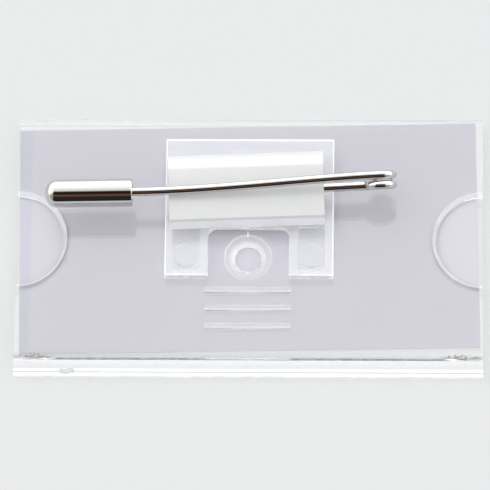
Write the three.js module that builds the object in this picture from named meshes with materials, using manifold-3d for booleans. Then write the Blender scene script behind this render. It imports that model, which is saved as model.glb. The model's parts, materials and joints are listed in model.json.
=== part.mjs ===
// Name badge lying face down: a clear card holder, a card in it, and the pin fastening on its back.
// Millimetres. X runs along the holder, Y towards its open top edge, Z up out of its back.
// The origin is the middle of the front face, which the badge lies on.
import * as THREE from "three";
import { mergeVertices } from "three/addons/utils/BufferGeometryUtils.js";
import Module from "manifold-3d";

const wasm = await Module();
wasm.setup();

const degrees = Math.PI / 180;

// Gaps between pieces: the running gap of what moves, and the thin line of a welded joint
const clearance = 0.3;
const weldGap = 0.1;

// How far a cutter reaches past the face that it cuts, and how far a joined piece sinks into its neighbour
const cutPast = 1;
const joinDepth = 0.6;
const mergeDistance = 1e-4;

// Paper card, a little askew in its pocket, with a margin at each end
const cardWidth = 60;
const cardHeight = 31;
const cardThickness = 0.3;
const cardMargin = 0.5;
const cardTilt = 1.15 * degrees;
const cardShift = -0.15;

// Card holder, open at its top edge and at both ends, with a round rail along its bottom edge
const holderHeight = 35.2;
const wall = 1;
const railWidth = 1.85;
const ledgeReach = 0.45;
const foldSides = 14;
const plateCorner = 0.5;
const plateCornerSides = 12;

// Thumb notches in both ends of the back plate
const notchRadius = 6.1;
const notchBevel = 0.55;
const notchRise = 0.9;
const notchSides = 64;

// Countersunk hole in the back plate, below the pin
const holeRadius = 1.7;
const sinkRadius = 3.15;
const sinkDepth = 0.8;
const holeShift = -0.15;
const holeRise = -1.6;
const holeSides = 40;

// Grip ribs on the back plate, below the hole
const ribCount = 3;
const ribLength = 11.3;
const ribWidth = 0.9;
const ribHeight = 0.55;
const ribRound = 0.25;
const ribEndFlat = 0.02;
const ribRoundSides = 3;
const ribPitch = 2.48;
const ribRise = -6.6;

// Clip base, a plate with two legs that straddle the hole
const clipWidth = 22;
const clipHeight = 19;
const clipThickness = 1.5;
const clipRise = 4.9;
const clipBevel = 0.25;
const clipBevelSides = 2;
const clipCorner = 0.5;
const clipCornerSides = 6;
const forkWidth = 10.6;
const forkDepth = 6.75;
const forkCorner = 1.2;
const forkShift = -0.1;

// Sunk panel with a round pad in each leg of the clip base
const panelWidth = 3.5;
const panelHeight = 5.9;
const panelDepth = 0.45;
const panelCorner = 0.4;
const panelCornerSides = 5;
const panelFootGap = 0.75;
const padRadius = 1.62;
const padHeight = 0.22;
const padFootGap = 2.8;
const padSides = 32;

// Metal bridge that holds the pin wire down on the clip base
const bridgeLength = 20;
const bridgeDepth = 9.7;
const bridgeHeight = 3.3;
const bridgeSheet = 0.4;
const bridgeNearRound = 0.9;
const bridgeFarRound = 3;
const bridgeTurn = 1.6 * degrees;
const bridgeShift = -0.4;
const bridgeRise = 6.9;
const bridgeRoundSides = 10;

// Pin wire: a stub held in the bridge, a coil with its axis leaning back, and a long springy arm
const wireRadius = 0.6;
const wireSides = 10;
const wireStep = 0.9;
const stubReach = 14;
const coilRadius = 1.55;
const coilX = 17.1;
const coilRise = 6.68;
const coilLean = 20 * degrees;
const coilTurn = 3.4 * degrees;
const coilPitch = 2 * wireRadius + clearance;
const coilStep = 12 * degrees;

// Angles round the coil, from its right-hand side: the ends of the fixed wire and of the arm's turn,
// and the stretch in which the wire crosses from the near turn to the far one
const coilStart = -90 * degrees;
const armStart = 250 * degrees;
const armLeave = 450 * degrees;
const crossStart = 120 * degrees;
const crossEnd = 270 * degrees;
const openingAngle = 35 * degrees;
const partingAngle = 5 * degrees;

// Cap over the point of the pin, a bullet with a blind bore
const capRadius = 1.85;
const capLength = 11.4;
const capDome = 1.5;
const capMouthRound = 0.2;
const capTurn = 0.9 * degrees;
const capDip = 0.5 * degrees;
const capMouthX = -15.15;
const capRise = 5.35;
const capLift = 5.6;
const capEndWall = 1.4;
const capSides = 28;
const capDomeSides = 7;

// The bare pin inside the cap, which lies above the cap's axis and tapers to its point
const pinOffset = 0.2;
const pinEndGap = 0.7;
const pinTaper = 3.2;
const pinTaperInset = 0.012;
const pinTipRadius = 0.08;
const armLead = 2.2;

// Lengths, heights and edges that follow from the sizes above
const holderWidth = cardWidth + 2 * cardMargin;
const pocket = cardThickness + 2 * clearance;
const backFace = 2 * wall + pocket;
const holderBottom = -holderHeight / 2;
const holderTop = holderHeight / 2;
const railEdge = holderBottom + railWidth;
const plateBottom = railEdge + clearance;
const ledgeEdge = plateBottom + ledgeReach;
const clipFace = backFace + weldGap + clipThickness;
const bridgeTop = clipFace + bridgeHeight;
const stubLift = bridgeTop - bridgeSheet - clearance - wireRadius;

// Solid for cutting and joining, from a closed three.js geometry
function solidOf(geometry) {
  const bare = geometry.clone();
  bare.deleteAttribute("normal");
  bare.deleteAttribute("uv");
  const merged = mergeVertices(bare, mergeDistance);
  const mesh = new wasm.Mesh({
    numProp: 3,
    vertProperties: new Float32Array(merged.attributes.position.array),
    triVerts: new Uint32Array(merged.index.array),
  });
  return new wasm.Manifold(mesh);
}

// Geometry of a solid that has been cut or joined
function geometryOf(solid) {
  const mesh = solid.getMesh();
  const geometry = new THREE.BufferGeometry();
  geometry.setAttribute("position", new THREE.BufferAttribute(new Float32Array(mesh.vertProperties), 3));
  geometry.setIndex(new THREE.BufferAttribute(new Uint32Array(mesh.triVerts), 1));
  geometry.computeVertexNormals();
  return geometry;
}

// Named mesh in a material of its own
function piece(name, geometry, finish) {
  const mesh = new THREE.Mesh(geometry, new THREE.MeshStandardMaterial(finish));
  mesh.name = name;
  return mesh;
}

// Flat outline in X and Y, raised along Z from zero
function slab(outline, thickness, curveSegments) {
  return new THREE.ExtrudeGeometry(outline, { depth: thickness, bevelEnabled: false, curveSegments });
}

// Outline in Y and Z, drawn out along X and centred on the origin
function bar(outline, length) {
  const geometry = new THREE.ExtrudeGeometry(outline, { depth: length, bevelEnabled: false });
  geometry.translate(0, 0, -length / 2);
  const alongX = new THREE.Matrix4().makeBasis(
    new THREE.Vector3(0, 1, 0),
    new THREE.Vector3(0, 0, 1),
    new THREE.Vector3(1, 0, 0),
  );
  return geometry.applyMatrix4(alongX);
}

// Round body about Z, from a profile of radius and height that starts and ends on the axis
function turned(profile, sides) {
  const points = profile.map(([radius, height]) => new THREE.Vector2(radius, height));
  return new THREE.LatheGeometry(points, sides).rotateX(Math.PI / 2);
}

// Rectangle with round corners, centred on the origin
function roundedRectangle(width, height, corner) {
  const x = width / 2;
  const y = height / 2;
  const outline = new THREE.Shape();
  outline.moveTo(-x + corner, -y);
  outline.lineTo(x - corner, -y);
  outline.absarc(x - corner, -y + corner, corner, -Math.PI / 2, 0, false);
  outline.absarc(x - corner, y - corner, corner, 0, Math.PI / 2, false);
  outline.absarc(-x + corner, y - corner, corner, Math.PI / 2, Math.PI, false);
  outline.absarc(-x + corner, -y + corner, corner, Math.PI, 1.5 * Math.PI, false);
  outline.closePath();
  return outline;
}

// Points of an arc in a flat outline, from one angle to another
function arcPoints(x, y, radius, start, end, sides) {
  return Array.from({ length: sides + 1 }, (_, step) => {
    const angle = start + ((end - start) * step) / sides;
    return new THREE.Vector2(x + radius * Math.cos(angle), y + radius * Math.sin(angle));
  });
}

// Front wall of the holder with the round rail along its bottom edge and the ledge of the back plate
function frontShell() {
  const foldRadius = backFace / 2;
  const foldCentre = holderBottom + foldRadius;
  const fold = arcPoints(foldCentre, foldRadius, foldRadius, 1.5 * Math.PI, Math.PI / 2, foldSides);
  const ledgeTop = wall + pocket - clearance;
  const outline = new THREE.Shape([
    new THREE.Vector2(holderTop, 0),
    ...fold,
    new THREE.Vector2(railEdge, backFace),
    new THREE.Vector2(railEdge, ledgeTop),
    new THREE.Vector2(ledgeEdge, ledgeTop),
    new THREE.Vector2(ledgeEdge, wall),
    new THREE.Vector2(holderTop, wall),
  ].reverse());
  return bar(outline, holderWidth);
}

// Cutter for a round opening in the back plate, wider at the plate's outer face
function roundCutter(radius, mouthRadius, mouthDepth, sides) {
  const slope = (mouthRadius - radius) / mouthDepth;
  const profile = [
    [0, -cutPast],
    [radius, -cutPast],
    [radius, wall - mouthDepth],
    [mouthRadius + slope * cutPast, wall + cutPast],
    [0, wall + cutPast],
  ];
  return turned(profile, sides);
}

// Low rib with round ends and a rounded crest
function rib() {
  const width = ribWidth - 2 * ribRound;
  const outline = roundedRectangle(ribLength - 2 * ribRound, width, (width - ribEndFlat) / 2);
  return new THREE.ExtrudeGeometry(outline, {
    depth: ribHeight - ribRound,
    bevelEnabled: true,
    bevelThickness: ribRound,
    bevelSize: ribRound,
    bevelSegments: ribRoundSides,
    curveSegments: ribRoundSides,
  });
}

// Back plate, with a thumb notch in each end, the countersunk hole and the grip ribs
function backPlate() {
  const height = holderTop - plateBottom;
  const blank = slab(roundedRectangle(holderWidth, height, plateCorner), wall, plateCornerSides);
  blank.translate(0, plateBottom + height / 2, 0);
  let plate = solidOf(blank);
  for (const side of [-1, 1]) {
    const notch = roundCutter(notchRadius, notchRadius + notchBevel, notchBevel, notchSides);
    notch.translate((side * holderWidth) / 2, notchRise, 0);
    plate = plate.subtract(solidOf(notch));
  }
  const hole = roundCutter(holeRadius, sinkRadius, sinkDepth, holeSides);
  hole.translate(holeShift, holeRise, 0);
  plate = plate.subtract(solidOf(hole));
  for (let index = 0; index < ribCount; index += 1) {
    const raised = rib();
    raised.translate(holeShift, ribRise - index * ribPitch, wall);
    plate = plate.add(solidOf(raised));
  }
  return geometryOf(plate);
}

// Outline of the clip base, drawn inside its bevel
function clipOutline() {
  const x = clipWidth / 2 - clipBevel;
  const low = -clipHeight / 2 + clipBevel;
  const high = clipHeight / 2 - clipBevel;
  const left = forkShift - forkWidth / 2 - clipBevel;
  const right = forkShift + forkWidth / 2 + clipBevel;
  const crotch = -clipHeight / 2 + forkDepth + clipBevel;
  const outline = new THREE.Shape();
  outline.moveTo(-x + clipCorner, low);
  outline.lineTo(left - clipCorner, low);
  outline.absarc(left - clipCorner, low + clipCorner, clipCorner, -Math.PI / 2, 0, false);
  outline.absarc(left + forkCorner, crotch - forkCorner, forkCorner, Math.PI, Math.PI / 2, true);
  outline.absarc(right - forkCorner, crotch - forkCorner, forkCorner, Math.PI / 2, 0, true);
  outline.absarc(right + clipCorner, low + clipCorner, clipCorner, Math.PI, 1.5 * Math.PI, false);
  outline.absarc(x - clipCorner, low + clipCorner, clipCorner, -Math.PI / 2, 0, false);
  outline.absarc(x - clipCorner, high - clipCorner, clipCorner, 0, Math.PI / 2, false);
  outline.absarc(-x + clipCorner, high - clipCorner, clipCorner, Math.PI / 2, Math.PI, false);
  outline.absarc(-x + clipCorner, low + clipCorner, clipCorner, Math.PI, 1.5 * Math.PI, false);
  outline.closePath();
  return outline;
}

// Clip base with a sunk panel and a round pad in each leg
function clipBase() {
  const blank = new THREE.ExtrudeGeometry(clipOutline(), {
    depth: clipThickness - 2 * clipBevel,
    bevelEnabled: true,
    bevelThickness: clipBevel,
    bevelSize: clipBevel,
    bevelSegments: clipBevelSides,
    curveSegments: clipCornerSides,
  });
  blank.translate(0, 0, clipBevel);
  let base = solidOf(blank);
  const foot = -clipHeight / 2;
  const floor = clipThickness - panelDepth;
  const padProfile = [
    [0, floor - joinDepth],
    [padRadius, floor - joinDepth],
    [padRadius, floor + padHeight],
    [0, floor + padHeight],
  ];
  for (const side of [-1, 1]) {
    const legInner = forkShift + (side * forkWidth) / 2;
    const legMiddle = (legInner + (side * clipWidth) / 2) / 2;
    const outline = roundedRectangle(panelWidth, panelHeight, panelCorner);
    const panel = slab(outline, panelDepth + cutPast, panelCornerSides);
    panel.translate(legMiddle, foot + panelFootGap + panelHeight / 2, floor);
    const pad = turned(padProfile, padSides);
    pad.translate(legMiddle, foot + padFootGap, 0);
    base = base.subtract(solidOf(panel)).add(solidOf(pad));
  }
  return geometryOf(base);
}

// Bridge: sheet bent down square on the near side and in a wide round on the far side
function bridge() {
  const nearBend = -bridgeDepth / 2 + bridgeNearRound;
  const farBend = bridgeDepth / 2 - bridgeFarRound;
  const section = (inset) => {
    const near = bridgeNearRound - inset;
    const far = bridgeFarRound - inset;
    const quarter = Math.PI / 2;
    return [
      new THREE.Vector2(nearBend - near, 0),
      ...arcPoints(nearBend, bridgeHeight - bridgeNearRound, near, Math.PI, quarter, bridgeRoundSides),
      ...arcPoints(farBend, bridgeHeight - bridgeFarRound, far, quarter, 0, bridgeRoundSides),
      new THREE.Vector2(farBend + far, 0),
    ];
  };
  return bar(new THREE.Shape([...section(0).reverse(), ...section(bridgeSheet)]), bridgeLength);
}

// Directions of the coil: along the pin, up within each turn, and along the coil's own axis
const along = new THREE.Vector3(Math.cos(coilTurn), Math.sin(coilTurn), 0);
const coilAxis = new THREE.Vector3(
  -Math.sin(coilTurn) * Math.cos(coilLean),
  Math.cos(coilTurn) * Math.cos(coilLean),
  Math.sin(coilLean),
);
const upTurn = new THREE.Vector3().crossVectors(along, coilAxis);
const coilCentre = new THREE.Vector3(coilX, coilRise, stubLift + coilRadius * Math.cos(coilLean));

// Where the fixed wire ends, so that the arm's turn clears it at the widest opening
const coilEnd = armStart - openingAngle - clearance / coilRadius - partingAngle;

// Point on the middle of the coil's wire at an angle from the right-hand side
function coilPoint(angle) {
  const crossed = THREE.MathUtils.smoothstep(angle, crossStart, crossEnd);
  return coilCentre.clone()
    .addScaledVector(along, coilRadius * Math.cos(angle))
    .addScaledVector(upTurn, coilRadius * Math.sin(angle))
    .addScaledVector(coilAxis, coilPitch * crossed);
}

// Points round the coil between two angles
function coilPoints(start, end) {
  const count = Math.ceil((end - start) / coilStep);
  const angleAt = (index) => start + ((end - start) * index) / count;
  return Array.from({ length: count + 1 }, (_, index) => coilPoint(angleAt(index)));
}

// Round wire swept along points
function wire(points) {
  const route = new THREE.CatmullRomCurve3(points, false, "centripetal");
  const ring = arcPoints(0, 0, wireRadius, 0, 2 * Math.PI, wireSides).slice(0, wireSides);
  return new THREE.ExtrudeGeometry(new THREE.Shape(ring), {
    steps: Math.round(route.getLength() / wireStep),
    bevelEnabled: false,
    extrudePath: route,
  });
}

// Fixed wire: the stub under the bridge and the near turn of the coil
function pinCoil() {
  const foot = coilPoint(coilStart);
  const stubEnd = foot.clone().addScaledVector(along, -stubReach);
  const stubMiddle = foot.clone().addScaledVector(along, -stubReach / 2);
  return wire([stubEnd, stubMiddle, ...coilPoints(coilStart, coilEnd)]);
}

// Frame of the cap: its mouth, and its direction from the mouth to the domed end
const capMouth = new THREE.Vector3(capMouthX, capRise, backFace + capLift);
const capDirection = new THREE.Vector3(
  -Math.cos(capTurn) * Math.cos(capDip),
  -Math.sin(capTurn) * Math.cos(capDip),
  -Math.sin(capDip),
);
const capUp = new THREE.Vector3(0, 0, 1).addScaledVector(capDirection, -capDirection.z).normalize();
const capTurned = new THREE.Quaternion().setFromUnitVectors(new THREE.Vector3(0, 0, 1), capDirection);
const boreRadius = wireRadius + pinOffset + clearance;
const boreDepth = capLength - capEndWall;

// Moving wire: the far turn of the coil, the arm, and the pin that tapers to a point inside the cap
function pinArm() {
  const pinFoot = capMouth.clone().addScaledVector(capUp, pinOffset);
  const straight = boreDepth - pinEndGap - pinTaper;
  const arm = wire([
    ...coilPoints(armStart, armLeave),
    pinFoot.clone().addScaledVector(capDirection, -armLead),
    pinFoot,
    pinFoot.clone().addScaledVector(capDirection, straight),
  ]);
  const taper = turned([
    [0, straight - joinDepth],
    [wireRadius - pinTaperInset, straight - joinDepth],
    [wireRadius - pinTaperInset, straight],
    [pinTipRadius, straight + pinTaper],
    [0, straight + pinTaper],
  ], wireSides);
  taper.applyQuaternion(capTurned).translate(pinFoot.x, pinFoot.y, pinFoot.z);
  return geometryOf(solidOf(arm).add(solidOf(taper)));
}

// Cap: a tube with a domed end
function pinCap() {
  const straight = capLength - capDome;
  const dome = Array.from({ length: capDomeSides - 1 }, (_, index) => {
    const angle = (Math.PI / 2) * ((index + 1) / capDomeSides);
    return [capRadius * Math.cos(angle), straight + capDome * Math.sin(angle)];
  });
  const profile = [
    [0, boreDepth],
    [boreRadius, boreDepth],
    [boreRadius, 0],
    [capRadius - capMouthRound, 0],
    [capRadius, capMouthRound],
    [capRadius, straight],
    ...dome,
    [0, capLength],
  ];
  return turned(profile, capSides);
}

const clearPlastic = { color: 0xe9edf2, roughness: 0.06, metalness: 0, opacity: 0.3, transparent: true };
const cardPaper = { color: 0xcfcbe0, roughness: 0.85, metalness: 0 };
const pressedNickel = { color: 0xd9d8d6, roughness: 0.16, metalness: 1 };
const brightNickel = { color: 0xd9d8d6, roughness: 0.11, metalness: 1 };

const badge = new THREE.Group();

badge.add(piece("front_shell", frontShell(), clearPlastic));

const plate = piece("back_plate", backPlate(), clearPlastic);
plate.position.z = wall + pocket;
badge.add(plate);

const card = piece("card_insert", new THREE.BoxGeometry(cardWidth, cardHeight, cardThickness), cardPaper);
const cardRise = (cardHeight / 2) * Math.cos(cardTilt) + (cardWidth / 2) * Math.sin(cardTilt);
card.position.set(cardShift, ledgeEdge + clearance + cardRise, wall + clearance + cardThickness / 2);
card.rotation.z = cardTilt;
badge.add(card);

const clip = piece("clip_base", clipBase(), clearPlastic);
clip.position.set(0, clipRise, backFace + weldGap);
badge.add(clip);

const bridgePiece = piece("pin_bridge", bridge(), pressedNickel);
bridgePiece.position.set(bridgeShift, bridgeRise, clipFace);
bridgePiece.rotation.z = bridgeTurn;
badge.add(bridgePiece);

badge.add(piece("pin_coil", pinCoil(), brightNickel));
badge.add(piece("pin_arm", pinArm(), brightNickel));

const cap = piece("pin_cap", pinCap(), brightNickel);
cap.position.copy(capMouth);
cap.quaternion.copy(capTurned);
badge.add(cap);

export default badge;
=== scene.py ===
import json
from math import cos, pi, radians, sin

import bpy
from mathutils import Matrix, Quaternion, Vector


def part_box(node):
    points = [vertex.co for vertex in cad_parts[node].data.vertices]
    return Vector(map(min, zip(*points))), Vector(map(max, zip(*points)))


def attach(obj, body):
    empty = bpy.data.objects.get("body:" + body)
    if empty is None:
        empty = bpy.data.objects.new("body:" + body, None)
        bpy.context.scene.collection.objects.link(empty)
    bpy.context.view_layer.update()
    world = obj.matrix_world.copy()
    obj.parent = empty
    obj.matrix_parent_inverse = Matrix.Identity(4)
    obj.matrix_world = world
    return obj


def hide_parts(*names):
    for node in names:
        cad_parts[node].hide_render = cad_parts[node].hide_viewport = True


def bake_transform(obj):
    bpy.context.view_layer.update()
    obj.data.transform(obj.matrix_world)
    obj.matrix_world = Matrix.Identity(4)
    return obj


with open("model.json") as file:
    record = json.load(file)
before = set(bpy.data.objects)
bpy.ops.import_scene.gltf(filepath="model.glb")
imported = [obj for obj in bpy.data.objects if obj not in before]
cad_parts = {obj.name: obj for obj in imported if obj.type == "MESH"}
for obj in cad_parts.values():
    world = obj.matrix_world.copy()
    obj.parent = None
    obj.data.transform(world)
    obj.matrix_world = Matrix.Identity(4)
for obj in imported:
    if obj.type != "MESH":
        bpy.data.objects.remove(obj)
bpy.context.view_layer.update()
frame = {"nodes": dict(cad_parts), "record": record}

# Camera: looks steeply down on the badge's back from beyond its lower edge, through a long lens,
# and is turned a little about its own line of sight.
mm = 0.001
aim = Vector((-0.58, 0.108, 2.9)) * mm
camera_azimuth = radians(-4.826)
camera_elevation = radians(70.534)
camera_roll = radians(-4.351)
camera_distance = 720.24 * mm
lens_mm = 405.1
sensor_mm = 36.0
clip_near = 10 * mm
clip_far = 20.0

sight = Vector((
    sin(camera_azimuth) * cos(camera_elevation),
    cos(camera_azimuth) * cos(camera_elevation),
    -sin(camera_elevation),
))
bpy.ops.object.camera_add(location=aim - sight * camera_distance)
camera = bpy.context.object
camera.name = "camera"
camera.rotation_mode = "QUATERNION"
roll = Quaternion((0, 0, 1), camera_roll)
camera.rotation_quaternion = sight.to_track_quat("-Z", "Y") @ roll
camera.data.lens = lens_mm
camera.data.sensor_width = sensor_mm
camera.data.clip_start = clip_near
camera.data.clip_end = clip_far
bpy.context.scene.camera = camera
bpy.context.scene.view_settings.view_transform = "Standard"


# Light: a white tent that is brightest beyond the badge's top edge and greys towards the zenith,
# with a dark opening on the camera's side that the polished metal mirrors as its dark stripes.
# All else is lit by an even white room with a soft light nearly overhead.
class Wire:
    """A node's output. Python's operators on it add Math nodes."""

    def __init__(self, tree, socket):
        self.tree = tree
        self.socket = socket

    def math(self, operation, *others):
        sockets = dict(enumerate((self, *others)))
        return self.tree.add("ShaderNodeMath", {"operation": operation}, sockets)

    def __add__(self, other):
        return self.math("ADD", other)

    def __radd__(self, other):
        return self.math("ADD", other)

    def __sub__(self, other):
        return self.math("SUBTRACT", other)

    def __rsub__(self, other):
        return (self * -1.0) + other

    def __mul__(self, other):
        return self.math("MULTIPLY", other)

    def __rmul__(self, other):
        return self.math("MULTIPLY", other)

    def __truediv__(self, other):
        return self.math("DIVIDE", other)

    def step(self, low, high):
        """0 below low, 1 above high, and smooth between."""
        sockets = {"Value": self, "From Min": low, "From Max": high}
        return self.tree.add("ShaderNodeMapRange", {"interpolation_type": "SMOOTHSTEP"}, sockets)


class Tree:
    """The nodes of a material or of the world, from an empty start."""

    def __init__(self, owner):
        owner.use_nodes = True
        self.nodes = owner.node_tree.nodes
        self.links = owner.node_tree.links
        self.nodes.clear()

    def add(self, kind, settings=None, sockets=None, output=0):
        """Adds a node: its settings or a ramp's stops, then its sockets' values or links."""
        node = self.nodes.new(kind)
        for name, value in (settings or {}).items():
            if name == "stops":
                while len(node.color_ramp.elements) < len(value):
                    node.color_ramp.elements.new(1.0)
                for element, (place, colour) in zip(node.color_ramp.elements, value):
                    element.position = place
                    element.color = (*colour, 1.0)
            else:
                setattr(node, name, value)
        for name, value in (sockets or {}).items():
            if isinstance(value, Wire):
                self.links.new(value.socket, node.inputs[name])
            else:
                node.inputs[name].default_value = value
        return Wire(self, node.outputs[output]) if node.outputs else None

    def mix(self, share, one, other):
        """A colour between two: the one at share 0 and the other at share 1."""
        sockets = {0: share, 6: one, 7: other}
        return self.add("ShaderNodeMix", {"data_type": "RGBA"}, sockets, 2)

    def axes(self, place):
        """The three parts of a place or direction: across, away and up."""
        node = self.add("ShaderNodeSeparateXYZ", None, {0: place}).socket.node
        return [Wire(self, output) for output in node.outputs]


tent_strength = 2.5
# Degrees from the zenith over towards the far side, and the colour that the metal mirrors there
tent_tones = (
    (-180, (0.55, 0.55, 0.55)),
    (-101, (0.50, 0.50, 0.50)),
    (-98, (0.010, 0.010, 0.014)),
    (-52, (0.008, 0.010, 0.016)),
    (-46, (0.070, 0.030, 0.010)),
    (-34, (0.085, 0.036, 0.012)),
    (-28, (0.006, 0.006, 0.008)),
    (-9, (0.008, 0.008, 0.009)),
    (-4, (0.30, 0.30, 0.30)),
    (6, (0.46, 0.46, 0.46)),
    (20, (0.57, 0.57, 0.57)),
    (30, (0.70, 0.70, 0.70)),
    (38, (1.0, 1.0, 1.0)),
    (56, (1.0, 1.0, 1.0)),
    (72, (0.70, 0.70, 0.70)),
    (140, (0.70, 0.70, 0.70)),
)
# The tent's two ends, which are shaded on the camera's side
side_edge = (0.50, 0.62)
side_turn = (-0.45, 0.1)
side_tone = (0.85, 0.85, 0.85, 1.0)
side_shade = (0.20, 0.19, 0.17, 1.0)
# The lamp beyond the far edge: its degrees, and how much brighter it is than the tent around it
lamp_rise = (34, 44)
lamp_fall = (54, 72)
lamp_strength = 1.75
room_tone = (0.985, 0.995, 1.0, 1.0)
room_strength = 0.905
# The soft light is a little to the badge's upper left
soft_light_from = Vector((-0.20, 0.11, 0.974))
soft_light_edge = (0.78, 0.99)
soft_light_strength = 0.95
# Share of the scattered light that the plastic keeps
plastic_loss = 0.17
bounces = 32
backdrop_tone = (0.83, 0.84, 0.84, 1.0)

world = bpy.data.worlds.new("tent")
bpy.context.scene.world = world
sky = Tree(world)
across, away, up = sky.axes(sky.add("ShaderNodeTexCoord"))
rays = sky.add("ShaderNodeLightPath").socket.node
seen, glossy, through, scattered = (Wire(sky, rays.outputs[name]) for name in (
    "Is Camera Ray", "Is Glossy Ray", "Is Transmission Ray", "Diffuse Depth"))
straight = 1.0 - scattered.math("MINIMUM", 1.0)

angle = away.math("ARCTAN2", up) * (180 / pi)
lamp = angle.step(*lamp_rise) * (1.0 - angle.step(*lamp_fall)) * (lamp_strength - 1.0) + 1.0
stops = [(degrees / 360 + 0.5, colour) for degrees, colour in tent_tones]
tone = sky.add("ShaderNodeValToRGB", {"stops": stops}, {0: angle / 360 + 0.5})
side = sky.mix(away.step(*side_turn), side_shade, side_tone)
tent = sky.mix(across.math("ABSOLUTE").step(*side_edge), tone, side)

facing_light = across * soft_light_from.x + away * soft_light_from.y + up * soft_light_from.z
room_light = facing_light.step(*soft_light_edge) * soft_light_strength + room_strength
room_light = room_light * (through * straight * (lamp - 1.0) + 1.0)
room_light = room_light * (1.0 - through * (1.0 - straight) * plastic_loss)

mirrored, room, backdrop = (
    sky.add("ShaderNodeBackground", None, {"Color": colour, "Strength": strength})
    for colour, strength in (
        (tent, lamp * tent_strength), (room_tone, room_light), (backdrop_tone, 1.0)))
# A ray that goes through the plastic counts as glossy too, and sees the room.
is_mirrored = glossy * straight * (1.0 - through)
lit = sky.add("ShaderNodeMixShader", None, {0: is_mirrored, 1: room, 2: mirrored})
sky.add("ShaderNodeOutputWorld", None, {
    "Surface": sky.add("ShaderNodeMixShader", None, {0: seen, 1: lit, 2: backdrop}),
})
# Light has to get in and out through many walls of clear plastic without loss.
paths = bpy.context.scene.cycles
paths.max_bounces = bounces
paths.transmission_bounces = bounces
paths.glossy_bounces = bounces // 2
paths.blur_glossy = 0.0


# Floor: a plain pale light table that the badge lies on, which glows enough to leave no hard
# shadow and to shine up through the clear plastic.
floor_size = 4.0
floor_drop = 0.02 * mm
floor_colour = (0.26, 0.262, 0.262, 1.0)
floor_glow = (0.545, 0.552, 0.550, 1.0)
# Colour and glow of the painted light that the veils lay over the clear plastic
painted_light_white = (0.93, 0.94, 0.95, 1.0)
painted_light_glow = 0.42


def material(name, sockets_of, veil_of=None, veil_colour=painted_light_white, veil_glow=painted_light_glow):
    """A named material. sockets_of gives its shader's sockets, and veil_of the share of a matt,
    slightly glowing veil over it: painted light for the light that the plastic scatters, unless a
    mark gives the veil its own colour and glow."""
    made = bpy.data.materials.new(name)
    tree = Tree(made)
    surface = tree.add("ShaderNodeBsdfPrincipled", None, sockets_of(tree))
    if veil_of:
        veil = tree.add("ShaderNodeBsdfPrincipled", None, {
            "Base Color": veil_colour,
            "Roughness": 0.9,
            "Specular IOR Level": 0.0,
            "Emission Color": veil_colour,
            "Emission Strength": veil_glow,
        })
        surface = tree.add("ShaderNodeMixShader", None, {0: veil_of(tree), 1: surface, 2: veil})
    tree.add("ShaderNodeOutputMaterial", None, {"Surface": surface})
    return made


bpy.ops.mesh.primitive_plane_add(size=floor_size, location=(0, 0, -floor_drop))
floor = bpy.context.object
floor.name = "table_top"
floor.data.materials.append(material("light_table", lambda tree: {
    "Base Color": floor_colour,
    "Roughness": 0.7,
    "Specular IOR Level": 0.0,
    "Emission Color": floor_glow,
    "Emission Strength": 1.0,
}))


# Clear holder, front: a moulded sheet of clear plastic whose lower edge is folded up into a round
# rail, with a small ledge that the back plate is welded on to. A moulding mark is left on the rail.
wall = 1.0 * mm
rail_width = 1.85 * mm
rail_round = 1.44 * mm
ledge_reach = 0.75 * mm
ledge_height = 0.6 * mm
edge_round = 0.07 * mm
gate_radius = 1.15 * mm
gate_shape = (1.0, 0.42, 0.34)
gate_place = Vector((-23.6, -17.1, 2.5)) * mm
# What the modelling counts as pointing along an axis, and as lying on a plane or near it
aligned = 0.9
hair = mm / 100
near = mm / 10
sharp_angle = radians(35)
smooth_angle = radians(50)
# The rail's bands of painted light and painted highlight, by the y of the normal of the faces in
# them
rail_light_lean = (-0.48, 0.05)
rail_highlight_lean = (-0.725, -0.48)
rail_foot_highlight_lean = -0.80


def take(piece):
    """Makes a piece the only one selected, and the active one."""
    bpy.ops.object.select_all(action="DESELECT")
    piece.select_set(True)
    bpy.context.view_layer.objects.active = piece


def block(name, low, high):
    """A box between two corners."""
    bpy.ops.object.select_all(action="DESELECT")
    low, high = Vector(low), Vector(high)
    bpy.ops.mesh.primitive_cube_add(size=1.0, location=(low + high) / 2, scale=high - low)
    piece = bpy.context.object
    piece.name = name
    bpy.ops.object.transform_apply(location=True, rotation=True, scale=True)
    return piece


def choose(piece, kind, test):
    """Opens a piece for editing, with the faces or edges selected that pass a test of their
    middle and their normal or run."""
    if piece.mode == "EDIT":
        bpy.ops.object.mode_set(mode="OBJECT")
    take(piece)
    bpy.ops.object.mode_set(mode="EDIT")
    bpy.ops.mesh.select_mode(type=kind)
    bpy.ops.mesh.select_all(action="DESELECT")
    bpy.ops.object.mode_set(mode="OBJECT")
    mesh = piece.data
    if kind == "FACE":
        for face in mesh.polygons:
            face.select = test(face.center, face.normal)
    else:
        for edge in mesh.edges:
            one, other = (mesh.vertices[index].co for index in edge.vertices)
            edge.select = test((one + other) / 2, (other - one).normalized())
    bpy.ops.object.mode_set(mode="EDIT")


def close_edit():
    bpy.ops.object.mode_set(mode="OBJECT")


def combine(piece, tool, operation):
    """Cuts or joins a tool piece, which is then gone."""
    take(piece)
    work = piece.modifiers.new("work", "BOOLEAN")
    work.operation = operation
    work.solver = "EXACT"
    work.object = tool
    bpy.ops.object.modifier_apply(modifier=work.name)
    bpy.data.objects.remove(tool)


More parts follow.
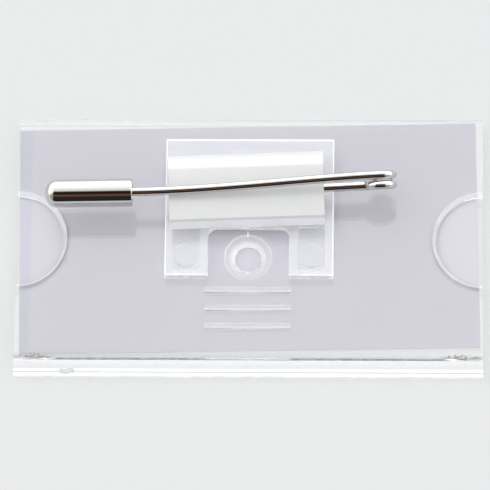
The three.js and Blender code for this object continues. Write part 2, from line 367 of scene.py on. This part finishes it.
def finish_edges(piece, width, segments=2, least_angle=sharp_angle):
    """Rounds every sharp edge a little, then shades smoothly with flat faces kept flat."""
    take(piece)
    rounding = piece.modifiers.new("rounding", "BEVEL")
    rounding.width = width
    rounding.segments = segments
    rounding.limit_method = "ANGLE"
    rounding.angle_limit = least_angle
    rounding.use_clamp_overlap = True
    bpy.ops.object.modifier_apply(modifier=rounding.name)
    bpy.ops.object.shade_smooth_by_angle(angle=smooth_angle)
    weighting = piece.modifiers.new("weighting", "WEIGHTED_NORMAL")
    weighting.keep_sharp = True
    bpy.ops.object.modifier_apply(modifier=weighting.name)


def paint_faces(piece, made, test):
    """Gives a further material to the faces that pass a test."""
    piece.data.materials.append(made)
    slot = len(piece.data.materials) - 1
    choose(piece, "FACE", test)
    close_edit()
    for face in piece.data.polygons:
        if face.select:
            face.material_index = slot


def spot(tree):
    """A point of the piece, in its own space."""
    return tree.add("ShaderNodeTexCoord", None, None, 3)


def grain(tree, scale, detail=2.0):
    """Even noise from 0 to 1."""
    sockets = {"Vector": spot(tree), "Scale": scale, "Detail": detail}
    return tree.add("ShaderNodeTexNoise", None, sockets)


def clear_plastic(tree):
    """Clear moulded plastic: polished, with a trace of flow and fine handling haze."""
    haze = grain(tree, 2600.0).step(0.55, 0.8)
    return {
        "Base Color": (0.985, 0.99, 0.995, 1.0),
        "Roughness": haze * 0.05 + 0.01,
        "IOR": 1.49,
        "Transmission Weight": 1.0,
        "Normal": tree.add("ShaderNodeBump", None, {
            "Strength": 0.10, "Distance": 0.2 * mm, "Height": grain(tree, 120.0, 1.0),
        }),
    }


def painted_light_plastic(name, scale, least, most):
    """Clear plastic under a veil of painted light whose share goes from least to most, unevenly."""
    return material(name, clear_plastic, lambda tree: grain(tree, scale) * (most - least) + least)


def scar_veil(tree):
    """The frayed patches of the moulding mark."""
    return grain(tree, 1500.0).step(0.42, 0.55) * 0.8


plastic = material("clear_plastic", clear_plastic)
# A cut or moulded edge of the plastic gets a painted highlight all along it and looks white.
painted_edge_highlight = painted_light_plastic("plastic_edge_painted_highlight", 700.0, 0.50, 0.80)
# Painted light that whitens the clip base's upright sides
clip_side_painted_light = painted_light_plastic("plastic_side_painted_light", 500.0, 0.15, 0.40)
# Painted light over the rail's upper round
rail_painted_light = painted_light_plastic("rail_painted_light", 500.0, 0.13, 0.21)
gate_scar = material("gate_scar", clear_plastic, scar_veil, (0.58, 0.62, 0.66, 1.0), 0.15)

shell_low, shell_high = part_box("front_shell")
back_face = shell_high.z
rail_edge = shell_low.y + rail_width
shell = block("holder_front", shell_low, (shell_high.x, rail_edge, back_face))
choose(shell, "EDGE", lambda middle, run: (
    abs(run.x) > aligned and middle.y < rail_edge - rail_width / 2))
bpy.ops.mesh.bevel(offset=rail_round, segments=12, affect="EDGES")
for height in (wall, wall + ledge_height):
    choose(shell, "FACE", lambda middle, normal: normal.y > aligned)
    bpy.ops.mesh.bisect(plane_co=(0, 0, height), plane_no=(0, 0, 1))
sheet_reach = shell_high.y - rail_edge - ledge_reach
for height, reach in ((wall + ledge_height, ledge_reach), (wall, sheet_reach)):
    choose(shell, "FACE", lambda middle, normal: normal.y > aligned and middle.z < height)
    bpy.ops.mesh.extrude_region_move(TRANSFORM_OT_translate={"value": (0, reach, 0)})
close_edit()
bpy.ops.object.select_all(action="DESELECT")
bpy.ops.mesh.primitive_uv_sphere_add(
    segments=24, ring_count=12, radius=gate_radius, location=gate_place, scale=gate_shape)
gate = bpy.context.object
bpy.ops.object.transform_apply(location=True, rotation=True, scale=True)
combine(shell, gate, "UNION")
finish_edges(shell, edge_round)

shell.data.materials.append(plastic)
# Painted light on the rail's upper round
paint_faces(shell, rail_painted_light, lambda middle, normal: (
    rail_light_lean[0] < normal.y < rail_light_lean[1] and normal.z > 0.5
    and middle.y < rail_edge and middle.z > back_face - mm))
# Painted highlights on the rail's foot, on a band of its round and on the top back edge
paint_faces(shell, painted_edge_highlight, lambda middle, normal: (
    normal.y < rail_foot_highlight_lean
    or normal.y > aligned and middle.y > shell_high.y - near
    or rail_highlight_lean[0] < normal.y < rail_highlight_lean[1] and normal.z > 0))
paint_faces(shell, gate_scar, lambda middle, normal: (
    (middle - gate_place).length < gate_radius
    and normal.z > 0.1 and abs(normal.y) < aligned and abs(normal.x) > 0.02))
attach(shell, "root")
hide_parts("front_shell")


# Clear holder, back: a moulded plate of clear plastic with a thumb notch in each end, a countersunk
# hole with a small tick above it and three grip ribs. It is welded to the front along its lower
# edge, where the seam shows as a painted grey shade line with some glow, beside a painted grey
# shade band, and a frayed weld mark is left at each end.
notch_radius = 6.1 * mm
notch_bevel = 0.55 * mm
notch_rise = 0.9 * mm
# How far along the plate's end, from a notch's middle, its edge gets a painted white highlight
notch_highlight_reach = 7.0 * mm
hole_radius = 1.7 * mm
sink_radius = 3.15 * mm
sink_depth = 0.8 * mm
hole_place = Vector((-0.15, -1.6)) * mm
rib_count = 3
rib_length = 11.3 * mm
rib_width = 0.9 * mm
rib_end_round = rib_width * 0.45
rib_height = 0.36 * mm
rib_round = rib_height * 0.9
rib_pitch = 2.48 * mm
rib_rise = -6.05 * mm
glint_lean = (-0.70, -0.20)
tick_place = Vector((-0.2, 1.55)) * mm
tick_width = 0.16 * mm
tick_length = 0.95 * mm
cut_past = 1.0 * mm
weld_reach = 2.85 * mm
weld_half_width = 0.42 * mm
weld_mark_and_shade_colour = (0.36, 0.32, 0.29, 1.0)
seam_shade_colour = (0.40, 0.41, 0.43, 1.0)
seam_glow = 0.55
seam_shade_width = 1.0 * mm
seam_fade = (23.0 * mm, 27.0 * mm)
# The countersink's painted light: where it fades out from the hole, its rim, and the reach of its
# lit side
cone_fade = (hole_radius + 0.2 * mm, sink_radius - 0.4 * mm)
cone_rim = (sink_radius - 0.3 * mm, sink_radius - 0.05 * mm)
cone_reach = 2.2 * mm


def round_cutter(place, radius, mouth, depth, low, high, sides):
    """A cutter for a round opening from low to high, that widens to its mouth over a depth."""
    bpy.ops.object.select_all(action="DESELECT")
    start = low - cut_past
    bpy.ops.mesh.primitive_cylinder_add(
        vertices=sides, radius=radius, depth=high - depth - start,
        location=(place[0], place[1], (start + high - depth) / 2))
    cutter = bpy.context.object
    bpy.ops.object.transform_apply(location=True, rotation=True, scale=True)
    choose(cutter, "FACE", lambda middle, normal: normal.z > aligned)
    centre = (place[0], place[1], high)
    for rise, size in ((depth, mouth / radius), (cut_past, 1.0)):
        bpy.ops.mesh.extrude_region_move(TRANSFORM_OT_translate={"value": (0, 0, rise)})
        bpy.ops.transform.resize(value=(size, size, 1), center_override=centre)
    close_edit()
    return cutter


def weld_marks_and_seam_shade(tree):
    """Frayed lens-shaped marks at both ends of the seam, and a painted grey shade band along it."""
    across, away, _ = tree.axes(spot(tree))
    lens = 0.0
    for place in weld_places:
        long, short = (across - place.x) / weld_reach, (away - place.y) / weld_half_width
        lens = (1.0 - (long * long + short.math("ABSOLUTE"))).step(0.0, 0.15) + lens
    # Painted shade: a grey band along the seam
    band = (1.0 - away.step(plate_low.y, plate_low.y + seam_shade_width)) * 0.16
    return lens * (grain(tree, 2600.0, 3.0).step(0.46, 0.60) * 0.75) + band


def seam_shade_veil(tree):
    """A painted grey shade line with some glow on the seam's face, which fades towards both ends.
    """
    across, _, _ = tree.axes(spot(tree))
    middle_part = 1.0 - across.math("ABSOLUTE").step(*seam_fade)
    return middle_part * 0.5 + grain(tree, 900.0).step(0.4, 0.7) * 0.3


def cone_light_veil(tree):
    """Painted light on the cut cone: brightest round the hole, at its rim and on its upper left
    side.
    """
    across, away, _ = tree.axes(spot(tree))
    across, away = across - hole_place.x, away - hole_place.y
    out = (across * across + away * away).math("SQRT")
    ring = out.step(*cone_rim) * 0.5 + (1.0 - out.step(*cone_fade) * 0.8)
    lit_side = (away * 0.8 - across * 0.5).step(-cone_reach, cone_reach) * 0.22 + 0.24
    return ring * lit_side * (grain(tree, 900.0) * 0.6 + 0.7)


plate_low, plate_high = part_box("back_plate")
plate_face = plate_low.z + wall
weld_places = [
    Vector((side * (plate_high.x - weld_reach), plate_low.y + weld_half_width / 2))
    for side in (-1, 1)]
plate = block("holder_back", plate_low, (plate_high.x, plate_high.y, plate_face))
notch_mouth = notch_radius + notch_bevel
for end in (plate_low.x, plate_high.x):
    cutter = round_cutter(
        (end, notch_rise), notch_radius, notch_mouth, notch_bevel, plate_low.z, plate_face, 96)
    combine(plate, cutter, "DIFFERENCE")
cutter = round_cutter(
    hole_place, hole_radius, sink_radius, sink_depth, plate_low.z, plate_face, 64)
combine(plate, cutter, "DIFFERENCE")
for index in range(rib_count):
    rib_middle = Vector((hole_place.x, rib_rise - index * rib_pitch, plate_face))
    rib_half = Vector((rib_length / 2, rib_width / 2, rib_height))
    rib = block("rib", rib_middle - rib_half, rib_middle + rib_half)
    choose(rib, "EDGE", lambda middle, run: abs(run.z) > aligned)
    bpy.ops.mesh.bevel(offset=rib_end_round, segments=6, affect="EDGES")
    choose(rib, "FACE", lambda middle, normal: normal.z > aligned)
    bpy.ops.mesh.bevel(offset=rib_round, segments=8, affect="EDGES")
    close_edit()
    combine(plate, rib, "UNION")
tick = block(
    "tick",
    (tick_place.x - tick_width / 2, tick_place.y - tick_length / 2, plate_face - tick_width),
    (tick_place.x + tick_width / 2, tick_place.y + tick_length / 2, plate_face + tick_width),
)
combine(plate, tick, "UNION")
finish_edges(plate, edge_round)

# Real weld marks and a painted grey shade band along the seam
plate.data.materials.append(
    material("back_plastic", clear_plastic, weld_marks_and_seam_shade, weld_mark_and_shade_colour, 0.0))
# Painted light on the ribs' tops, and a painted glint on their near slopes
rib_top_painted_light = painted_light_plastic("rib_top_painted_light", 500.0, 0.07, 0.13)
rib_painted_glint = painted_light_plastic("rib_painted_glint", 500.0, 0.20, 0.40)
notch_edge_highlight = painted_light_plastic("notch_edge_highlight", 500.0, 0.18, 0.30)
sink_painted_light = material("countersink_edge", clear_plastic, cone_light_veil)
seam_painted_shade = material("seam_painted_shade", clear_plastic, seam_shade_veil, seam_shade_colour, seam_glow)
paint_faces(plate, rib_top_painted_light, lambda middle, normal: middle.z > plate_face + hair)
paint_faces(plate, rib_painted_glint, lambda middle, normal: (
    middle.z > plate_face + hair and glint_lean[0] < normal.y < glint_lean[1]))
# Painted highlights on the plate's top back edge and on the tick
paint_faces(plate, painted_edge_highlight, lambda middle, normal: (
    normal.y > aligned and middle.y > plate_high.y - near
    or middle.z > plate_face + hair and (middle.xy - tick_place).length < tick_length))
# Painted shade on the seam's face: a grey line with some glow
paint_faces(plate, seam_painted_shade, lambda middle, normal: (
    normal.y < -aligned and middle.y < plate_low.y + near))
# Painted light on the countersink's cone
paint_faces(plate, sink_painted_light, lambda middle, normal: (
    -0.1 < normal.z < 0.97 and plate_low.z < middle.z < plate_face
    and (middle.xy - hole_place).length < sink_radius + near))
# Painted highlight round the notches' edges
paint_faces(plate, notch_edge_highlight, lambda middle, normal: (
    -0.1 < normal.z < 0.97 and plate_low.z < middle.z < plate_face
    and abs(middle.x) > plate_high.x - notch_radius - notch_bevel - near
    and abs(middle.y - notch_rise) < notch_highlight_reach))
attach(plate, "root")
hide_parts("back_plate")


# Card: a plain name card of lavender paper, cut from a sheet, with painted shade along its left
# end, darker and bluer. It lies loose and a little askew in the holder, and slides in from either
# end.
card_end_shade_edge = -28.7 * mm
card_end_shade_blur = 0.25 * mm
card_end_shade_share = 0.35
card_end_shade_colour = (0.545, 0.555, 0.665, 1.0)
card_dark = (0.662, 0.640, 0.702, 1.0)
card_light = (0.712, 0.691, 0.741, 1.0)


def card_paper(tree):
    """Uncoated paper with fibre and cloud in it, and painted shade along its left end."""
    fibre = grain(tree, 3000.0, 4.0)
    cloud = grain(tree, 60.0, 2.0)
    tone = tree.mix(fibre * 0.6 + cloud * 0.4, card_dark, card_light)
    across, _, _ = tree.axes(spot(tree))
    # Painted shade: darker and bluer along the card's left end
    strip = 1.0 - across.step(card_end_shade_edge - card_end_shade_blur, card_end_shade_edge + card_end_shade_blur)
    return {
        "Base Color": tree.mix(strip * card_end_shade_share, tone, card_end_shade_colour),
        "Roughness": 0.9,
        "Specular IOR Level": 0.0,
        "Normal": tree.add("ShaderNodeBump", None, {
            "Strength": 0.3, "Distance": 0.02 * mm, "Height": fibre,
        }),
    }


card = frame["nodes"]["card_insert"]
card.data.materials.clear()
card.data.materials.append(material("lavender_card", card_paper))


# Clip base: a clear moulded plate welded on the holder's back. Two legs straddle the hole, each
# with a sunk panel and a low round pad.
fork_width = 10.6 * mm
fork_depth = 6.75 * mm
fork_corner = 1.2 * mm
fork_shift = -0.1 * mm
panel_size = Vector((3.5, 5.9)) * mm
panel_depth = 0.45 * mm
panel_corner = 0.4 * mm
panel_foot_gap = 0.75 * mm
pad_radius = 1.62 * mm
pad_height = 0.22 * mm
pad_foot_gap = 2.8 * mm
clip_far_round = 0.5 * mm
clip_rim_round = 0.2 * mm
# How far in from the plate's outline the faces of its rounded rim lie
far_rim = clip_far_round * 1.1
rim = clip_rim_round * 1.2


def round_block(name, low, high, corner):
    """A box whose upright edges are rounded."""
    piece = block(name, low, high)
    choose(piece, "EDGE", lambda middle, run: abs(run.z) > aligned)
    bpy.ops.mesh.bevel(offset=corner, segments=8, affect="EDGES")
    close_edit()
    return piece


clip_low, clip_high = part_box("clip_base")
clip_middle = (clip_low + clip_high) / 2
clip_half = (clip_high - clip_low) / 2
clip = block("clip_plate", clip_low, clip_high)
for width, low, high in (
    (clip_far_round, clip_high.y - hair, clip_high.y + mm),
    (clip_rim_round, clip_low.y - mm, clip_high.y - clip_far_round - hair),
):
    choose(clip, "EDGE", lambda middle, run: (
        middle.z > clip_high.z - hair and low < middle.y < high and abs(run.z) < 0.1))
    bpy.ops.mesh.bevel(offset=width, segments=6, affect="EDGES")
    close_edit()
fork = round_block(
    "fork",
    (fork_shift - fork_width / 2, clip_low.y - fork_depth, clip_low.z - cut_past),
    (fork_shift + fork_width / 2, clip_low.y + fork_depth, clip_high.z + cut_past),
    fork_corner,
)
combine(clip, fork, "DIFFERENCE")
panel_floor = clip_high.z - panel_depth
panel_foot = clip_low.y + panel_foot_gap
for side, outer in ((-1, clip_low.x), (1, clip_high.x)):
    leg_middle = (fork_shift + side * fork_width / 2 + outer) / 2
    panel = round_block(
        "panel",
        (leg_middle - panel_size.x / 2, panel_foot, panel_floor),
        (leg_middle + panel_size.x / 2, panel_foot + panel_size.y, clip_high.z + cut_past),
        panel_corner,
    )
    combine(clip, panel, "DIFFERENCE")
    bpy.ops.object.select_all(action="DESELECT")
    bpy.ops.mesh.primitive_cylinder_add(
        vertices=48, radius=pad_radius, depth=2 * pad_height,
        location=(leg_middle, clip_low.y + pad_foot_gap, panel_floor))
    combine(clip, bpy.context.object, "UNION")
finish_edges(clip, edge_round)

clip.data.materials.append(plastic)
# Painted light that lifts the shade on the clip base: its top, its sunk panels and its near faces
clip_painted_light = painted_light_plastic("clip_plastic_painted_light", 300.0, 0.17, 0.23)
sunk = painted_light_plastic("panel_plastic_painted_light", 300.0, 0.08, 0.13)
paint_faces(clip, sunk, lambda middle, normal: (
    normal.z > 0.98 and middle.z > panel_floor - hair))
paint_faces(clip, clip_painted_light, lambda middle, normal: (
    normal.z > 0.98 and middle.z > clip_high.z - hair))
# Painted highlights on the clip base's rounded rim
paint_faces(clip, painted_edge_highlight, lambda middle, normal: (
    0.15 < abs(normal.z) < 0.98 and middle.z > clip_high.z - clip_far_round and (
        abs(middle.x - clip_middle.x) > clip_half.x - rim
        or middle.y > clip_high.y - far_rim or middle.y < clip_low.y + rim)))
# Painted light on the clip base's sides and far end
paint_faces(clip, clip_side_painted_light, lambda middle, normal: (
    abs(normal.z) < 0.1 and normal.y > -aligned and middle.z > clip_low.z + near))
# Painted light on the clip base's near faces
paint_faces(clip, clip_painted_light, lambda middle, normal: (
    normal.y < -aligned and middle.z > clip_low.z + near))
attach(clip, "root")
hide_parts("clip_base")


# Bridge: a strip of nickel-plated steel sheet, bent down square on the near side and in a wide
# round on the far side, which holds the pin's wire down on the clip base.
bridge_middle = Vector((-0.4, 7.0)) * mm
bridge_size = Vector((20.2, 9.9, 3.3)) * mm
bridge_sheet = 0.4 * mm
bridge_near_round = 0.22 * mm
bridge_far_round = 3.0 * mm
bridge_turn = radians(2.2)
sheet_dark = (0.65, 0.65, 0.65, 1.0)
sheet_light = (0.69, 0.69, 0.69, 1.0)
sheet_highlight = (0.90, 0.89, 0.92, 1.0)
# Where the sheet is painted lighter as highlight: below its top on the near wall, and from the
# start of the far round
wall_fade = (-0.9 * mm, -0.1 * mm)
bend_fade = (0.1 * mm, 1.3 * mm)
long_fade = (-4.0 * mm, 0.5 * mm)


def blasted_nickel(tree):
    """Nickel plate over a bead-blasted sheet: matt, with a faint mottle, and a painted highlight
    that makes it lighter on the near wall and on the far round."""
    mottle = grain(tree, 400.0, 2.0)
    across, away, up = tree.axes(spot(tree))
    near_wall = 1.0 - up.step(bridge_top + wall_fade[0], bridge_top + wall_fade[1])
    bend_start = bridge_middle.y + bridge_size.y / 2 - bridge_far_round
    past_bend = away - (across - bridge_middle.x) * bridge_turn - bend_start
    far_bend = past_bend.step(*bend_fade) * 0.82 + past_bend.step(*long_fade) * 0.18
    flat = tree.mix(mottle, sheet_dark, sheet_light)
    return {
        # Painted highlight on the near wall and the far round
        "Base Color": tree.mix(near_wall.math("MAXIMUM", far_bend), flat, sheet_highlight),
        "Metallic": 0.12,
        "Roughness": mottle * 0.08 + 0.28,
        "Normal": tree.add("ShaderNodeBump", None, {
            "Strength": 0.1, "Distance": 0.03 * mm, "Height": grain(tree, 3500.0, 3.0),
        }),
    }


bridge_top = clip_high.z + bridge_size.z
half = bridge_size / 2
bridge = block("bridge_sheet", (-half.x, -half.y, clip_high.z), (half.x, half.y, bridge_top))
choose(bridge, "FACE", lambda middle, normal: normal.z < -aligned or abs(normal.x) > aligned)
bpy.ops.mesh.delete(type="FACE")
close_edit()
for side, radius in ((-1, bridge_near_round), (1, bridge_far_round)):
    choose(bridge, "EDGE", lambda middle, run: (
        abs(run.x) > aligned and middle.z > bridge_top - hair and side * middle.y > half.y - hair))
    bpy.ops.mesh.bevel(offset=radius, segments=24, affect="EDGES")
    close_edit()
take(bridge)
thicken = bridge.modifiers.new("thicken", "SOLIDIFY")
thicken.thickness = bridge_sheet
thicken.offset = -1.0
bpy.ops.object.modifier_apply(modifier=thicken.name)
bridge.rotation_euler.z = bridge_turn
bridge.location = (bridge_middle.x, bridge_middle.y, 0)
bpy.ops.object.transform_apply(location=True, rotation=True, scale=True)
finish_edges(bridge, edge_round)
bridge.data.materials.append(material("pressed_nickel", blasted_nickel))
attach(bridge, "root")
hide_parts("pin_bridge")


# Pin: one length of springy nickel-plated wire. A stub runs under the bridge, then the wire makes a
# turn and a half of coil, whose axis leans back, and runs on as the long arm to its point in the
# cap. The turn is parted for the joint, and the short piece between the parts is made on its own.
wire_radius = 0.6 * mm
coil_radius = 1.55 * mm
coil_lean = radians(20)
coil_turn = radians(3.4)
coil_pitch = 1.30 * mm
stub_reach = 14 * mm
stub_steps = 12
# Degrees round the coil: where the wire crosses over, and where its parts start and end
cross_start = 120
cross_end = 270
coil_start = -90
fixed_end = 198
arm_start = 250
arm_leave = 450
coarse_step = 6
fine_step = 2
arm_steps = 40
cap_turn = radians(0.9)
cap_dip = radians(0.5)
cap_mouth = Vector((-15.15, 5.35, 8.5)) * mm
pin_offset = 0.2 * mm
pin_reach = 9.3 * mm
pin_steps = 4
pin_taper = 3.2 * mm
pin_point = 0.13
nickel_tint = (0.61, 0.605, 0.59, 1.0)

along = Vector((cos(coil_turn), sin(coil_turn), 0))
coil_axis = Vector((
    -sin(coil_turn) * cos(coil_lean), cos(coil_turn) * cos(coil_lean), sin(coil_lean)))
up_turn = along.cross(coil_axis)
coil_centre = Vector(frame["record"]["behaviour"]["joints"][1]["pos_m"])
cap_direction = -Vector((
    cos(cap_turn) * cos(cap_dip), sin(cap_turn) * cos(cap_dip), sin(cap_dip)))
cap_up = (Vector((0, 0, 1)) - cap_direction * cap_direction.z).normalized()


def coil_point(angle):
    """Middle of the wire at an angle round the coil, in degrees from its right-hand side."""
    crossed = min(max((angle - cross_start) / (cross_end - cross_start), 0), 1)
    crossed = crossed * crossed * (3 - 2 * crossed)
    turn = radians(angle)
    round_part = coil_radius * (cos(turn) * along + sin(turn) * up_turn)
    return coil_centre + round_part + coil_pitch * crossed * coil_axis


def coil_points(start, end, step):
    return [coil_point(angle) for angle in range(start, end + 1, step)]


def bow(start, start_run, end, end_run, count):
    """Points of a springy line between two ends that leaves each in its own direction."""
    reach = (end - start).length / 3
    one, two = start + start_run * reach, end - end_run * reach
    points = []
    for index in range(1, count + 1):
        s = index / count
        rest = 1 - s
        points.append(
            rest ** 3 * start + 3 * rest ** 2 * s * one + 3 * rest * s * s * two + s ** 3 * end)
    return points


def wire(name, points, sizes=None):
    """Round wire along points, each with its share of the full radius."""
    bpy.ops.object.select_all(action="DESELECT")
    bpy.ops.curve.primitive_nurbs_path_add(location=(0, 0, 0))
    piece = bpy.context.object
    piece.name = name
    piece.data.splines.clear()
    line = piece.data.splines.new("POLY")
    line.points.add(len(points) - 1)
    for point, place, size in zip(line.points, points, sizes or [1.0] * len(points)):
        point.co = (*place, 1.0)
        point.radius = size
    piece.data.bevel_depth = wire_radius
    piece.data.bevel_resolution = 8
    piece.data.use_fill_caps = True
    bpy.ops.object.convert(target="MESH")
    bpy.ops.object.mode_set(mode="EDIT")
    bpy.ops.mesh.select_all(action="SELECT")
    bpy.ops.mesh.remove_doubles(threshold=mm / 1000)
    close_edit()
    bpy.ops.object.shade_smooth_by_angle(angle=smooth_angle)
    return piece


def plated_nickel(tree):
    """Bright nickel plate, with fine scuffs and a soft ripple from the forming."""
    scuff = grain(tree, 1800.0, 3.0).step(0.5, 0.85)
    return {
        "Base Color": nickel_tint,
        "Metallic": 1.0,
        "Roughness": scuff * 0.06 + 0.05,
        "Normal": tree.add("ShaderNodeBump", None, {
            "Strength": 0.05, "Distance": 0.1 * mm, "Height": grain(tree, 260.0, 1.0),
        }),
    }


bright_nickel = material("bright_nickel", plated_nickel)

coil_foot = coil_point(coil_start)
stub_points = [
    coil_foot - along * stub_reach * (1 - index / stub_steps) for index in range(stub_steps)]
fixed_wire = wire(
    "pin_stub_and_turn", stub_points + coil_points(coil_start, fixed_end, coarse_step))
fixed_wire.data.materials.append(bright_nickel)
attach(fixed_wire, "root")
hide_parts("pin_coil")

crossing = wire("pin_coil_crossing", coil_points(fixed_end, arm_start, fine_step))
crossing.data.materials.append(bright_nickel)
crossing_run = (coil_point(arm_start) - coil_point(fixed_end)).normalized()
ring_reach = wire_radius * sin(radians((arm_start - fixed_end) / 2)) * crossing_run
coil_point(fixed_end) + ring_reach
coil_point(arm_start) - ring_reach
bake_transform(crossing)

pin_foot = cap_mouth + cap_up * pin_offset
pin_tip = pin_foot + cap_direction * pin_reach
taper_start = pin_tip - cap_direction * pin_taper
full_points = coil_points(arm_start, arm_leave, fine_step)
full_points += bow(coil_point(arm_leave), -along, pin_foot, cap_direction, arm_steps)
full_points += [
    pin_foot.lerp(taper_start, index / pin_steps) for index in range(1, pin_steps + 1)]
arm = wire("pin_arm_wire", full_points + [pin_tip], [1.0] * len(full_points) + [pin_point])
arm.data.materials.append(bright_nickel)
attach(arm, "pin")
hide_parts("pin_arm")


# Cap: a bullet turned from brass and nickel-plated, with a domed end and a blind bore. It is pushed
# over the pin's point and pulls off along it.
cap_length = 11.4 * mm
cap_radius = 1.85 * mm
cap_dome = 1.5 * mm
cap_bore = 1.1 * mm
cap_bore_depth = 10.0 * mm
cap_mouth_round = 0.15 * mm
cap_round_angle = radians(60)
dome_steps = 14

bpy.ops.object.select_all(action="DESELECT")
bpy.ops.mesh.primitive_cylinder_add(
    vertices=96, radius=cap_radius, depth=cap_length - cap_dome,
    location=(0, 0, (cap_length - cap_dome) / 2))
cap = bpy.context.object
cap.name = "cap_bullet"
bpy.ops.object.transform_apply(location=True, rotation=True, scale=True)
choose(cap, "FACE", lambda middle, normal: normal.z > aligned)
turns = [pi / 2 * step / dome_steps for step in range(dome_steps + 1)]
for last, turn in zip(turns, turns[1:]):
    rise = cap_dome * (sin(turn) - sin(last))
    bpy.ops.mesh.extrude_region_move(TRANSFORM_OT_translate={"value": (0, 0, rise)})
    if turn == turns[-1]:
        bpy.ops.mesh.merge(type="CENTER")
    else:
        size = cos(turn) / cos(last)
        bpy.ops.transform.resize(value=(size, size, 1), center_override=(0, 0, 0))
choose(cap, "FACE", lambda middle, normal: normal.z < -aligned)
bpy.ops.mesh.inset(thickness=cap_radius - cap_bore)
bpy.ops.mesh.extrude_region_move(TRANSFORM_OT_translate={"value": (0, 0, cap_bore_depth)})
close_edit()
cap.rotation_mode = "QUATERNION"
cap.rotation_quaternion = Vector((0, 0, 1)).rotation_difference(cap_direction)
cap.location = cap_mouth
bpy.ops.object.transform_apply(location=True, rotation=True, scale=True)
finish_edges(cap, cap_mouth_round, 3, cap_round_angle)
cap.data.materials.append(bright_nickel)
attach(cap, "cap")
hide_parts("pin_cap")
